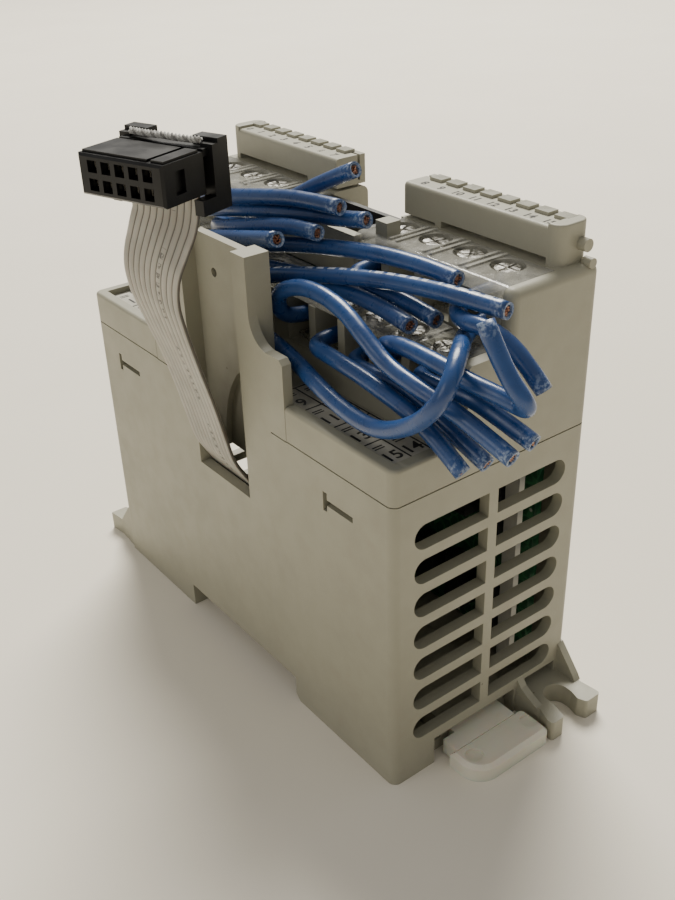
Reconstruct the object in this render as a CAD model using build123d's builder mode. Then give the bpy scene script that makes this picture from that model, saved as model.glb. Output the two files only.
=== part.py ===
from build123d import *
import os
from math import cos, pi, radians, sin, tan

# 16-channel input module for a control cabinet: a slim moulded case that clips on a 35 mm rail,
# with two tiers of screw terminals, their cut-off wires and a ribbon cable with its socket.
# Frame: +Z up, +Y along the case, -X is the broad side with the ribbon channel.
# The origin is the middle of the case's underside. All sizes are in millimetres.

# ---- case ----
CASE_X = 20.0             # half thickness of the case
CASE_Y = 45.0             # half length of the case
WALL = 2.0
CORNER_R = 1.5
SEAM_Z = 54.2             # joint between the lower and the upper case
RIM_Z = 60.3              # top of the low rim around the label tray
TIER_Z = 72.0             # top of the lower terminal tier
DECK_Z = 80.8             # top of the upper terminal tier
BAR_Z = 87.0              # top of the indicator bars' lenses and hinge caps
NOTCH_Y = 9.1             # half length of the notch between the bars
NOTCH_Z = 72.0
POCKET_Z = 2.2            # thin floor towards both ends
CAVITY_Z = 7.0            # thick floor over the rail
INNER_X = CASE_X - WALL
INNER_Y = CASE_Y - WALL

# ---- 35 mm rail seat ----
RAIL_HALF = 17.75
RAIL_SEAT_Z = 5.0
HOOK_HALF = 12.0
HOOK_REACH = 1.5
HOOK_TOP = 3.5

# ---- rail latch ----
LATCH_OPENING_X = (-11.2, 7.5)
LATCH_OPENING_Z = 5.5
WEB_X = (-6.0, 5.0)
WEB_Z = (1.3, 3.2)
SLIDE_GAP = 0.3
LIP_X = (-4.6, 3.6)       # narrow foot of the web, between the tunnel's two ledges
LATCH_HEAD_X = (-9.7, 7.2)
LATCH_HEAD_Y = (-54.0, -47.2)
LATCH_TIP_Y = -16.2

# ---- ventilation slots ----
VENT_ROWS = 7
VENT_Z = 7.6
VENT_PITCH = 6.25
VENT_HEIGHT = 4.4
VENT_BAR = 0.95           # half width of the middle bar
VENT_ROUND = 13.7         # centre of the slots' round outer ends

# ---- ribbon channel and the tower above it ----
CHANNEL_Y = (-7.2, 8.8)
CHANNEL_MID = sum(CHANNEL_Y) / 2
CHANNEL_SILL_Z = 38.0
PLATE_X = (-17.0, -15.5)
PLATE_Z = (42.5, 81.0)
POST_WIDTH = 3.8
POST_Z = (30.0, 82.0)
WING_X = (-CASE_X, -18.3)
WING_TIP = 20.2           # half width of the wings, from the channel's middle
WING_TOP_Z = 68.0

# ---- terminals ----
UPPER_PORTS = [13.6 + 7.8 * i for i in range(4)]
LOWER_PORTS = [7.1 + 7.6 * i for i in range(5)]
PORT_HALF = 2.95
UPPER_X = (1.8, 12.2)
UPPER_Z = (71.0, 79.0)
UPPER_PORT_Z = 72.3
UPPER_BACK = 10.3
UPPER_SCREW_X = 8.8
LOWER_X = (-8.0, 1.6)
LOWER_Z = (59.0, 71.0)
LOWER_PORT_Z = 63.2
LOWER_BACK = 0.5
LOWER_SCREW_X = -3.5
UPPER_SPAN = (9.8, 42.9)
LOWER_SPAN = (0.1, 42.9)
SCREW_HOLE_R = 2.7
CLAMP_HALF = 2.8
CLAMP_T = 0.5

# ---- indicator bars ----
BAR_X = (13.0, 19.5)
BAR_SPAN = (9.2, 42.9)
BAR_BODY_Z = 86.5
CAP_Y = 40.4              # where the thicker hinge cap starts
LIGHTS = [12.6 + 3.85 * i for i in range(8)]
LIGHT_X = (16.6, 18.9)

# ---- ribbon cable and its socket ----
RIBBON_WIDTH = 12.7
RIBBON_T = 0.9
PLUG_FACE = (-36.9, -8.45, 96.3)      # middle of the socket's mating face
PLUG_TURN = 18.6                      # the socket's turn about +Z, degrees
PLUG_HALF = 7.75
PLUG_TALL = 2.9
PLUG_DEEP = 8.35
PLUG_PITCH = 2.54
CABLE_DEPTH = 8.9

# ---- wires ----
WIRE_D = 2.6


def block(x, y, z, mode=Mode.ADD):
    """A block given by its low and high limits on each axis."""
    with Locations(((x[0] + x[1]) / 2, (y[0] + y[1]) / 2, (z[0] + z[1]) / 2)):
        Box(x[1] - x[0], y[1] - y[0], z[1] - z[0], mode=mode)


def prism(points, plane, depth, mode=Mode.ADD):
    """A straight-sided outline on a plane, extruded along the plane's normal."""
    with BuildSketch(plane) as outline:
        with BuildLine():
            Polyline(*points, close=True)
        make_face()
    extrude(outline.sketch, amount=depth, mode=mode)


def span(side, limits):
    """Limits along Y on the near (-1) or the far (+1) half of the case."""
    return (limits[0], limits[1]) if side > 0 else (-limits[1], -limits[0])


def across(y):
    """The same distance on the other side of the ribbon channel's middle."""
    return 2 * CHANNEL_MID - y


def mounting_tab(turn):
    """Open-slotted foot with two gussets; turn is 1 at the near end, -1 at the far end."""
    tab_plane = Plane(origin=(0, 0, 0), x_dir=(turn, 0, 0), z_dir=(0, 0, 1))
    outline = [
        (8.0, -44.0), (8.6, -50.2), (7.6, -52.8), (7.6, -54.2), (10.4, -54.2), (11.3, -50.8), (11.3, -47.2),
        (16.0, -47.2), (16.0, -50.8), (15.5, -52.6), (16.2, -54.2), (19.7, -54.2), (19.2, -50.2),
        (19.7, -44.0),
    ]
    with BuildSketch(tab_plane) as foot:
        with BuildLine():
            Polyline(*outline, close=True)
        make_face()
        slot_end = foot.vertices().filter_by(lambda v: abs(v.Y * turn + 47.2) < 0.01)
        fillet(slot_end, 2.3)
        tips = foot.vertices().filter_by(lambda v: v.Y * turn < -50.5)
        fillet(tips, 0.6)
    extrude(foot.sketch, amount=4.0)
    for x, profile in (
        (18.2, [(-44, 4), (-49.6, 4), (-49.0, 5.0), (-45, 9.9), (-44, 9.9)]),
        (8.2, [(-44, 4), (-49.8, 4), (-47.6, 4.9), (-46.0, 5.8), (-45, 7.2), (-44, 7.2)]),
    ):
        gusset_plane = Plane(origin=(turn * x, 0, 0), x_dir=(0, turn, 0), z_dir=(turn, 0, 0))
        prism(profile, gusset_plane, 1.4)
    gap = (9.7, 17.5) if turn > 0 else (-17.5, -9.7)
    wall = (-CASE_Y - 0.1, -INNER_Y + 0.1) if turn > 0 else (INNER_Y - 0.1, CASE_Y + 0.1)
    block(gap, wall, (4.0, 6.4), Mode.SUBTRACT)


os.makedirs("parts", exist_ok=True)

# ================= case =================

with BuildPart() as lower_case:
    block((-CASE_X, CASE_X), (-CASE_Y, CASE_Y), (0, SEAM_Z))
    fillet(lower_case.edges().filter_by(Axis.Z), CORNER_R)
    block((-INNER_X, INNER_X), (-INNER_Y, INNER_Y), (CAVITY_Z, SEAM_Z + 1), Mode.SUBTRACT)
    for side in (-1, 1):
        block((-INNER_X, INNER_X), span(side, (22, INNER_Y)), (POCKET_Z, CAVITY_Z), Mode.SUBTRACT)
    # seat for the rail, with the fixed hook at the far side
    block((-CASE_X - 1, CASE_X + 1), (-RAIL_HALF, RAIL_HALF), (-1, RAIL_SEAT_Z), Mode.SUBTRACT)
    block((-HOOK_HALF, HOOK_HALF), (RAIL_HALF - HOOK_REACH, RAIL_HALF), (0, HOOK_TOP))
    prism(
        [(-RAIL_HALF - 1.2, -0.1), (-RAIL_HALF + 0.1, -0.1), (-RAIL_HALF + 0.1, 1.3)],
        Plane.YZ.offset(-CASE_X - 1), 2 * CASE_X + 2, Mode.SUBTRACT,
    )
    # tunnel for the latch's web: wide above, narrow below, so that the web can't drop out
    block((WEB_X[0] - 2, WEB_X[1] + 2), (-INNER_Y, -22), (0, LATCH_OPENING_Z + 0.5))
    block(
        (WEB_X[0] - SLIDE_GAP, WEB_X[1] + SLIDE_GAP), (-CASE_Y - 1, -RAIL_HALF + 1),
        (WEB_Z[0] - SLIDE_GAP, WEB_Z[1] + SLIDE_GAP), Mode.SUBTRACT,
    )
    block(
        (LIP_X[0] - SLIDE_GAP, LIP_X[1] + SLIDE_GAP), (-CASE_Y - 1, -RAIL_HALF + 1), (-1, WEB_Z[0]),
        Mode.SUBTRACT,
    )
    block(LATCH_OPENING_X, (-CASE_Y - 1, -INNER_Y), (-1, LATCH_OPENING_Z), Mode.SUBTRACT)
    # ventilation slots through both end walls: round outside, square at the middle bar
    with BuildSketch(Plane.XZ.offset(-CASE_Y - 1)):
        for row in range(VENT_ROWS):
            slot_z = VENT_Z + VENT_HEIGHT / 2 + row * VENT_PITCH
            for side in (-1, 1):
                with Locations((side * (VENT_BAR + VENT_ROUND) / 2, slot_z)):
                    Rectangle(VENT_ROUND - VENT_BAR, VENT_HEIGHT)
                with Locations((side * VENT_ROUND, slot_z)):
                    Circle(VENT_HEIGHT / 2)
    extrude(amount=2 * CASE_Y + 2, mode=Mode.SUBTRACT)
    # two T-shaped catches in the broad side
    for start, end in ((-35.8, -28.5), (29.4, 37.4)):
        block((-CASE_X - 1, -INNER_X + 1), (start, end), (47.5, 48.5), Mode.SUBTRACT)
        block((-CASE_X - 1, -INNER_X + 1), (end - 1, end), (46.3, 49.7), Mode.SUBTRACT)
    # ribbon channel: a gap in the wall, two posts and a back plate that rise to the deck
    block((-CASE_X - 1, -INNER_X + 0.1), CHANNEL_Y, (CHANNEL_SILL_Z, SEAM_Z + 1), Mode.SUBTRACT)
    block((-CASE_X, PLATE_X[1]), (CHANNEL_Y[0] - POST_WIDTH, CHANNEL_Y[0]), (SEAM_Z - 1, POST_Z[1]))
    block((-CASE_X, PLATE_X[1]), (CHANNEL_Y[1], CHANNEL_Y[1] + POST_WIDTH), (SEAM_Z - 1, POST_Z[1]))
    block((-INNER_X - 0.5, PLATE_X[1]), (CHANNEL_Y[0] - POST_WIDTH, CHANNEL_Y[0]), (POST_Z[0], SEAM_Z))
    block((-INNER_X - 0.5, PLATE_X[1]), (CHANNEL_Y[1], CHANNEL_Y[1] + POST_WIDTH), (POST_Z[0], SEAM_Z))
    block(PLATE_X, CHANNEL_Y, PLATE_Z)
    # curved relief in the plate's lower near corner, and the small hole near its top
    with BuildSketch(Plane.YZ.offset(PLATE_X[0] - 0.5)):
        with Locations((CHANNEL_Y[0], PLATE_Z[0])):
            Ellipse(11.2, 18.5)
        with Locations((CHANNEL_Y[0] - 10, PLATE_Z[0])):
            Rectangle(20, 50, mode=Mode.SUBTRACT)
        with Locations((3.2, 75)):
            Circle(0.8)
    extrude(amount=PLATE_X[1] - PLATE_X[0] + 1, mode=Mode.SUBTRACT)
    # scooped wings beside the posts
    for near in (True, False):
        place = (lambda y: y) if near else across
        wing_tip = CHANNEL_MID - WING_TIP
        wing_root = CHANNEL_Y[0] - POST_WIDTH
        with BuildSketch(Plane.YZ.offset(WING_X[0])):
            with BuildLine():
                Polyline(
                    (place(wing_root + 1), WING_TOP_Z + 8), (place(wing_root + 1), SEAM_Z - 1),
                    (place(wing_tip), SEAM_Z - 1), (place(wing_tip), WING_TOP_Z - 0.8),
                    (place(wing_tip + 0.8), WING_TOP_Z), (place(wing_root - 4.0), WING_TOP_Z),
                )
                ThreePointArc(
                    (place(wing_root - 4.0), WING_TOP_Z), (place(wing_root - 1.2), WING_TOP_Z + 1.6),
                    (place(wing_root), WING_TOP_Z + 5.2),
                )
                Polyline(
                    (place(wing_root), WING_TOP_Z + 5.2), (place(wing_root), WING_TOP_Z + 8),
                    (place(wing_root + 1), WING_TOP_Z + 8),
                )
            make_face()
        extrude(amount=WING_X[1] - WING_X[0])
        # the seam's groove runs on over the foot of each wing
        groove_end = wing_tip + 4.2
        groove = sorted((place(wing_tip - 0.1), place(groove_end)))
        block((-CASE_X - 1, -CASE_X + 0.2), groove, (SEAM_Z - 0.1, SEAM_Z + 0.15), Mode.SUBTRACT)
    mounting_tab(1)
    mounting_tab(-1)
lower_case.part.label = "lower_case"
export_step(lower_case.part, "parts/lower_case.step")

with BuildPart() as upper_case:
    block((-CASE_X, CASE_X), (-CASE_Y, CASE_Y), (SEAM_Z, RIM_Z))
    # the stepped body, from the tray up to the deck
    with BuildSketch(Plane.XZ.offset(-CASE_Y)) as steps:
        with BuildLine():
            Polyline(
                (-6.2, SEAM_Z), (-6.2, TIER_Z), (UPPER_X[0], TIER_Z), (UPPER_X[0], DECK_Z),
                (CASE_X, DECK_Z), (CASE_X, SEAM_Z), close=True,
            )
        make_face()
        fillet(steps.vertices().filter_by(lambda v: v.Y > DECK_Z - 0.1), 1.4)
        fillet(steps.vertices().filter_by(lambda v: v.X < -6 and v.Y > TIER_Z - 0.1), 0.8)
    extrude(amount=2 * CASE_Y)
    corner_edges = upper_case.edges().filter_by(Axis.Z).filter_by(lambda e: abs(e.center().X) > CASE_X - 0.1)
    fillet(corner_edges, CORNER_R)
    chamfer(upper_case.faces().sort_by(Axis.Z)[0].edges(), 0.25)
    outer_rim = upper_case.edges().filter_by(lambda e: e.center().X < -6.3)
    fillet(outer_rim.filter_by(lambda e: abs(e.center().Z - RIM_Z) < 0.01), 0.6)
    # room for boards, terminal blocks and the tray
    block((-INNER_X, INNER_X), (-INNER_Y, INNER_Y), (SEAM_Z - 1, LOWER_Z[0] - 1), Mode.SUBTRACT)
    block((-INNER_X, LOWER_X[0]), (-INNER_Y, INNER_Y), (LOWER_Z[0], TIER_Z + 1), Mode.SUBTRACT)
    block((LOWER_X[0], UPPER_X[1] + 0.1), (-INNER_Y, INNER_Y), (LOWER_Z[0] - 2, BAR_Z), Mode.SUBTRACT)
    block((UPPER_X[1], INNER_X), (-INNER_Y, INNER_Y), (LOWER_Z[0] - 2, UPPER_Z[1]), Mode.SUBTRACT)
    # notch between the indicator bars, with its own floor and end walls
    notch_x = UPPER_X[1] + 0.1
    block((notch_x, CASE_X - 0.5), (-NOTCH_Y - 1, NOTCH_Y + 1), (NOTCH_Z - 1.4, DECK_Z - 0.5))
    block((notch_x, CASE_X + 1), (-NOTCH_Y, NOTCH_Y), (NOTCH_Z, DECK_Z + 1), Mode.SUBTRACT)
    # panel between the two halves of the upper tier
    block(UPPER_X, (-UPPER_SPAN[0] + 0.1, UPPER_SPAN[0] - 0.1), (TIER_Z + 0.1, TIER_Z + 1.6))
    block((UPPER_X[0], 3.4), (-UPPER_SPAN[0] + 0.1, UPPER_SPAN[0] - 0.1), (TIER_Z + 0.1, DECK_Z - 0.8))
    block((UPPER_X[1] - 1, notch_x + 0.5), (-1.2, 1.2), (NOTCH_Z - 1.4, NOTCH_Z))
    # windows in the deck for the indicator lights
    for side in (-1, 1):
        window_x = (LIGHT_X[0], LIGHT_X[1] - 1.2)
        block(window_x, span(side, (11.0, 41.0)), (UPPER_Z[1] - 1, DECK_Z + 1), Mode.SUBTRACT)
    # room for the tower of the lower case
    block(
        (-CASE_X - 1, PLATE_X[1] + 0.1), (CHANNEL_Y[0] - POST_WIDTH - 0.1, CHANNEL_Y[1] + POST_WIDTH + 0.1),
        (SEAM_Z - 1, RIM_Z + 1), Mode.SUBTRACT,
    )
    block(
        (-CASE_X - 1, WING_X[1] + 0.1), (CHANNEL_MID - WING_TIP - 0.1, CHANNEL_MID + WING_TIP + 0.1),
        (SEAM_Z - 1, RIM_Z + 1), Mode.SUBTRACT,
    )
    # small boss at each end of the deck, beside the bar's hinge pin
    for side in (-1, 1):
        with Locations(Location((18.2, side * (CASE_Y - 0.9), DECK_Z + 0.1), (90, 0, 0))):
            Cylinder(0.8, 1.6)
upper_case.part.label = "upper_case"
export_step(upper_case.part, "parts/upper_case.step")

# ================= indicator bars, one per half =================

for side, half in ((-1, "near"), (1, "far")):
    with BuildPart() as led_bar:
        block(BAR_X, span(side, (BAR_SPAN[0], CAP_Y + 0.2)), (DECK_Z, BAR_BODY_Z))
        fillet(led_bar.edges().filter_by(Axis.Y).group_by(Axis.Z)[-1].sort_by(Axis.X)[0], 0.7)
        block(BAR_X, span(side, (CAP_Y, BAR_SPAN[1])), (DECK_Z, BAR_Z))
        outer = led_bar.edges().filter_by(Axis.Z).group_by(Axis.Y)[0 if side < 0 else -1]
        fillet(outer, 1.9)
        fillet(led_bar.faces().sort_by(Axis.Z)[-1].edges(), 0.3)
        # slot under the bar, between its hinge end and its catch
        through_x = (BAR_X[0] - 1, BAR_X[1] + 1)
        block(through_x, span(side, (18.0, CAP_Y)), (DECK_Z - 1, DECK_Z + 1.1), Mode.SUBTRACT)
        block(through_x, span(side, (9.0, 16.6)), (DECK_Z - 1, DECK_Z + 0.5), Mode.SUBTRACT)
        for light in LIGHTS:
            block(LIGHT_X, (side * light - 1.4, side * light + 1.4), (DECK_Z - 1, BAR_Z + 1), Mode.SUBTRACT)
        # split back plate and two small pockets at the inner end
        block((17.8, 18.3), span(side, (9.1, 11.2)), (82.0, BAR_Z + 1), Mode.SUBTRACT)
        for pocket_x in (13.9, 15.5):
            block((pocket_x, pocket_x + 1), span(side, (9.1, 10.0)), (82.6, 84.8), Mode.SUBTRACT)
        # hinge pin on the outer end
        with Locations(Location((17.6, side * (BAR_SPAN[1] + 0.5), 83.6), (90, 0, 0))):
            Cylinder(1.0, 1.8)
    led_bar.part.label = f"led_bar_{half}"
    export_step(led_bar.part, f"parts/led_bar_{half}.step")

    with BuildPart() as light_pipes:
        for light in LIGHTS:
            block(
                (LIGHT_X[0] + 0.05, LIGHT_X[1] - 0.05), (side * light - 1.35, side * light + 1.35),
                (DECK_Z + 1.2, BAR_Z),
            )
    light_pipes.part.label = f"light_pipes_{half}"
    export_step(light_pipes.part, f"parts/light_pipes_{half}.step")

with BuildPart() as led_boards:
    for side in (-1, 1):
        block((12.8, 17.8), span(side, (10.5, 41.5)), (76.6, 78.2))
led_boards.part.label = "led_boards"
export_step(led_boards.part, "parts/led_boards.step")

with BuildPart() as status_leds:
    for side in (-1, 1):
        for light in LIGHTS:
            with Locations((17.1, side * light, 79.1)):
                Cylinder(0.45, 1.8)
status_leds.part.label = "status_leds"
export_step(status_leds.part, "parts/status_leds.step")

# ================= terminals =================

for side, half in ((-1, "near"), (1, "far")):
    with BuildPart() as upper_block:
        block(UPPER_X, span(side, UPPER_SPAN), UPPER_Z)
        for port in UPPER_PORTS:
            block(
                (UPPER_X[0] - 1, UPPER_BACK + CLAMP_T), (side * port - PORT_HALF, side * port + PORT_HALF),
                (UPPER_PORT_Z, UPPER_Z[1] + 1), Mode.SUBTRACT,
            )
        if side < 0:
            # square keying peg beside the first screw
            block((3.8, 6.6), (-17.2, -12.8), (77.7, UPPER_Z[1]))
            block((3.8, 6.6), (-15.6, -12.8), (UPPER_Z[1] - 0.5, 83.0))
    upper_block.part.label = f"terminal_block_upper_{half}"
    export_step(upper_block.part, f"parts/terminal_block_upper_{half}.step")

    with BuildPart() as upper_cover:
        block(UPPER_X, span(side, UPPER_SPAN), (UPPER_Z[1], DECK_Z))
        front = upper_cover.edges().filter_by(Axis.Y).group_by(Axis.Z)[-1].sort_by(Axis.X)[0]
        fillet(front, 1.5)
        for port in UPPER_PORTS:
            with Locations((UPPER_SCREW_X, side * port, (UPPER_Z[1] + DECK_Z) / 2)):
                Cylinder(SCREW_HOLE_R, 4, mode=Mode.SUBTRACT)
        for port in UPPER_PORTS[:-1]:
            for rib in (-0.75, 0.75):
                rib_y = side * (port + 3.9 + rib)
                block((3.4, UPPER_X[1] - 0.3), (rib_y - 0.3, rib_y + 0.3), (DECK_Z - 0.2, DECK_Z + 0.35))
        if side < 0:
            block((3.7, 6.7), (-15.7, -12.7), (UPPER_Z[1] - 1, DECK_Z + 1), Mode.SUBTRACT)
    upper_cover.part.label = f"terminal_cover_upper_{half}"
    export_step(upper_cover.part, f"parts/terminal_cover_upper_{half}.step")

    with BuildPart() as lower_block:
        foot_y = span(side, LOWER_SPAN)
        prism(
            [(LOWER_X[1], LOWER_Z[0]), (LOWER_X[1], LOWER_Z[1]), (LOWER_X[0], LOWER_Z[1]),
             (LOWER_X[0], LOWER_PORT_Z - 0.4), (LOWER_X[0] - 1.4, LOWER_Z[0])],
            Plane.XZ.offset(-foot_y[1]), foot_y[1] - foot_y[0],
        )
        for port in LOWER_PORTS:
            block(
                (LOWER_X[0] - 1, LOWER_BACK + CLAMP_T), (side * port - PORT_HALF, side * port + PORT_HALF),
                (LOWER_PORT_Z, LOWER_Z[1] + 1), Mode.SUBTRACT,
            )
    lower_block.part.label = f"terminal_block_lower_{half}"
    export_step(lower_block.part, f"parts/terminal_block_lower_{half}.step")

    with BuildPart() as lower_cover:
        block((LOWER_X[0] + 0.3, LOWER_X[1]), span(side, LOWER_SPAN), (LOWER_Z[1], TIER_Z))
        for port in LOWER_PORTS:
            with Locations((LOWER_SCREW_X, side * port, TIER_Z - 0.5)):
                Cylinder(SCREW_HOLE_R, 4, mode=Mode.SUBTRACT)
        for port in LOWER_PORTS[:-1]:
            rib_y = side * (port + 3.8)
            rib_x = (LOWER_X[0] + 1, LOWER_X[1] - 0.5)
            block(rib_x, (rib_y - 0.3, rib_y + 0.3), (TIER_Z - 0.2, TIER_Z + 0.3))
    lower_cover.part.label = f"terminal_cover_lower_{half}"
    export_step(lower_cover.part, f"parts/terminal_cover_lower_{half}.step")

    # printed card in the tray in front of the lower ports
    with BuildPart() as label_card:
        block((-17.8, LOWER_X[0] - 1.6), span(side, (12.9, 42.6)), (LOWER_Z[0], LOWER_Z[0] + 0.25))
    label_card.part.label = f"label_card_{half}"
    export_step(label_card.part, f"parts/label_card_{half}.step")

# C-shaped clamp in each port: floor, back and the plate under the screw
with BuildPart() as clamps:
    for side in (-1, 1):
        for port in UPPER_PORTS:
            width = (side * port - CLAMP_HALF, side * port + CLAMP_HALF)
            block((4.0, UPPER_BACK + CLAMP_T), width, (UPPER_PORT_Z, UPPER_PORT_Z + 0.7))
            block((UPPER_BACK, UPPER_BACK + CLAMP_T), width, (UPPER_PORT_Z, UPPER_Z[1]))
            block((7.2, UPPER_BACK + CLAMP_T), width, (UPPER_Z[1] - 0.35, UPPER_Z[1]))
        for port in LOWER_PORTS:
            width = (side * port - CLAMP_HALF, side * port + CLAMP_HALF)
            block((-6.0, LOWER_BACK + CLAMP_T), width, (LOWER_PORT_Z, LOWER_PORT_Z + 0.9))
            block((LOWER_BACK, LOWER_BACK + CLAMP_T), width, (LOWER_PORT_Z, LOWER_Z[1]))
            block((-6.0, LOWER_BACK + CLAMP_T), width, (LOWER_Z[1] - 0.22, LOWER_Z[1]))
clamps.part.label = "terminal_clamps"
export_step(clamps.part, "parts/terminal_clamps.step")

# slotted screw heads, standing on the clamps inside the covers' round holes
with BuildPart() as screws:
    for ports, screw_x, low, high, turn in (
        (UPPER_PORTS, UPPER_SCREW_X, UPPER_Z[1], UPPER_Z[1] + 1.5, 24),
        (LOWER_PORTS, LOWER_SCREW_X, LOWER_Z[1], LOWER_Z[1] + 0.9, 40),
    ):
        for side in (-1, 1):
            for place, port in enumerate(ports):
                with Locations((screw_x, side * port, (low + high) / 2)):
                    Cylinder(2.0, high - low)
                slot_angle = turn + 37 * place * side
                with Locations(Location((screw_x, side * port, high), (0, 0, slot_angle))):
                    Box(5, 0.5, 0.9, mode=Mode.SUBTRACT)
                    Box(0.5, 5, 0.9, mode=Mode.SUBTRACT)
screws.part.label = "terminal_screws"
export_step(screws.part, "parts/terminal_screws.step")

# ================= expansion bus header between the upper halves =================

HEADER_X = (4.6, 12.1)
HEADER_Y = 9.5
HEADER_Z = (TIER_Z + 1.7, DECK_Z - 0.3)
with BuildPart() as bus_header:
    block(HEADER_X, (-HEADER_Y, HEADER_Y), HEADER_Z)
    block(
        (HEADER_X[0] + 1, HEADER_X[1] - 1), (-HEADER_Y + 1, HEADER_Y - 1),
        (HEADER_Z[0] + 1.2, HEADER_Z[1] + 1), Mode.SUBTRACT,
    )
    key_x = (HEADER_X[0] - 1, HEADER_X[0] + 1.2)
    block(key_x, (-2.2, 2.2), (HEADER_Z[0] + 2.5, HEADER_Z[1] + 1), Mode.SUBTRACT)
bus_header.part.label = "bus_header"
export_step(bus_header.part, "parts/bus_header.step")

with BuildPart() as bus_pins:
    for pin_x in (7.08, 9.62):
        for i in range(6):
            with Locations((pin_x, (i - 2.5) * 2.54, HEADER_Z[0] + 1.2 + 2.0)):
                Box(0.64, 0.64, 4.0)
bus_pins.part.label = "bus_pins"
export_step(bus_pins.part, "parts/bus_pins.step")

# ================= boards and what stands on them =================

BOARD_T = 1.6
LEFT_BOARD_X = -16.4
RIGHT_BOARD_X = 13.4
with BuildPart() as board_left:
    block((LEFT_BOARD_X, LEFT_BOARD_X + BOARD_T), (-41.5, 41.5), (7.2, 53.0))
    block((LEFT_BOARD_X - 1, LEFT_BOARD_X + 3), (-12.5, 14.0), (26.0, 54.0), Mode.SUBTRACT)
board_left.part.label = "circuit_board_left"
export_step(board_left.part, "parts/circuit_board_left.step")

with BuildPart() as board_right:
    block((RIGHT_BOARD_X, RIGHT_BOARD_X + BOARD_T), (-41.5, 41.5), (7.2, 57.5))
board_right.part.label = "circuit_board_right"
export_step(board_right.part, "parts/circuit_board_right.step")

with BuildPart() as board_top:
    block((2.4, 17.6), (-42, 42), (66.0, 66.0 + BOARD_T))
board_top.part.label = "circuit_board_top"
export_step(board_top.part, "parts/circuit_board_top.step")

# strip connector that joins the upright board to the one under the terminals
with BuildPart() as board_connector:
    block((RIGHT_BOARD_X - 2.6, RIGHT_BOARD_X - 0.1), (-26, 26), (54.0, 65.9))
board_connector.part.label = "board_connector"
export_step(board_connector.part, "parts/board_connector.step")

# two combs that hold the upright boards behind the vents, with a bridge along the top
with BuildPart() as board_frame:
    for side in (-1, 1):
        for rail_x in ((-13.6, -12.4), (10.4, 11.6)):
            block(rail_x, span(side, (37.6, 40.6)), (7.2, 51.6))
        block((-13.6, 11.6), span(side, (37.6, 38.8)), (50.2, 53.8))
        block((-11.0, -4.5), span(side, (39.2, 40.4)), (46.6, 53.8))
        block((-11.0, -4.5), span(side, (38.6, 39.4)), (50.6, 53.8))
        block((2.6, 10.4), span(side, (39.4, 40.6)), (46.0, 50.4))
        block((4.2, 8.8), span(side, (39.3, 40.7)), (48.0, 48.8), Mode.SUBTRACT)
board_frame.part.label = "board_frame"
export_step(board_frame.part, "parts/board_frame.step")

with BuildPart() as optocouplers:
    for chip_y in (-34.5, -26.5, -18.5, -10.5, 10.5, 18.5, 26.5, 34.5):
        for chip_z in (17.0, 37.0):
            chip_x = (RIGHT_BOARD_X - 3.4, RIGHT_BOARD_X)
            block(chip_x, (chip_y - 2.3, chip_y + 2.3), (chip_z - 4.8, chip_z + 4.8))
optocouplers.part.label = "optocouplers"
export_step(optocouplers.part, "parts/optocouplers.step")

with BuildPart() as controller_chip:
    block((LEFT_BOARD_X + BOARD_T, LEFT_BOARD_X + BOARD_T + 1.6), (-33, -19), (16, 30))
controller_chip.part.label = "controller_chip"
export_step(controller_chip.part, "parts/controller_chip.step")

with BuildPart() as capacitors:
    for can_y, can_z in ((-33.0, 42.5), (-22.0, 40.0), (24.0, 36.0), (33.0, 22.0)):
        with Locations(Location((LEFT_BOARD_X + BOARD_T + 4.5, can_y, can_z), (0, 90, 0))):
            Cylinder(3.2, 9.0)
capacitors.part.label = "capacitors"
export_step(capacitors.part, "parts/capacitors.step")

HEADER_TOP_Z = 20.0
HEADER_MID_Y = 2.2
with BuildPart() as ribbon_header:
    block((LEFT_BOARD_X + BOARD_T, -9.0), (HEADER_MID_Y - 8.4, HEADER_MID_Y + 8.4), (11.0, HEADER_TOP_Z))
ribbon_header.part.label = "ribbon_header"
export_step(ribbon_header.part, "parts/ribbon_header.step")

# ================= rail latch =================

with BuildPart() as din_latch:
    # thumb block outside the case
    with BuildSketch(Plane.XY) as head:
        with Locations((sum(LATCH_HEAD_X) / 2, sum(LATCH_HEAD_Y) / 2)):
            Rectangle(LATCH_HEAD_X[1] - LATCH_HEAD_X[0], LATCH_HEAD_Y[1] - LATCH_HEAD_Y[0])
        front_left = head.vertices().group_by(Axis.Y)[0].sort_by(Axis.X)[0]
        fillet(front_left, 4.2)
        right_corners = head.vertices().group_by(Axis.X)[-1]
        fillet(right_corners, 1.2)
    extrude(amount=WEB_Z[1])
    near_top = din_latch.faces().sort_by(Axis.Z)[-1].edges().group_by(Axis.Y)[0]
    chamfer(near_top, 0.7)
    with Locations((-7.0, -50.2, WEB_Z[1]), (5.7, -50.4, WEB_Z[1])):
        Cylinder(1.5, 1.2, mode=Mode.SUBTRACT)
    # web that runs in the tunnel, its narrow foot, and the nose that grips the rail
    block(WEB_X, (LATCH_HEAD_Y[1] - 0.5, LATCH_TIP_Y), WEB_Z)
    block(LIP_X, (LATCH_HEAD_Y[1] - 0.5, LATCH_TIP_Y), (0.2, WEB_Z[0]))
    prism(
        [(LATCH_TIP_Y - 1.6, 0), (LATCH_TIP_Y + 0.2, 0), (LATCH_TIP_Y + 0.2, WEB_Z[1] + 0.1)],
        Plane.YZ.offset(WEB_X[0] - 1), WEB_X[1] - WEB_X[0] + 2, Mode.SUBTRACT,
    )
    # ear behind the thumb block
    block((-8.6, WEB_X[0] + 0.2), (LATCH_HEAD_Y[1] - 0.5, -44.4), (0.4, WEB_Z[1]))
din_latch.part.label = "din_latch"
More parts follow.
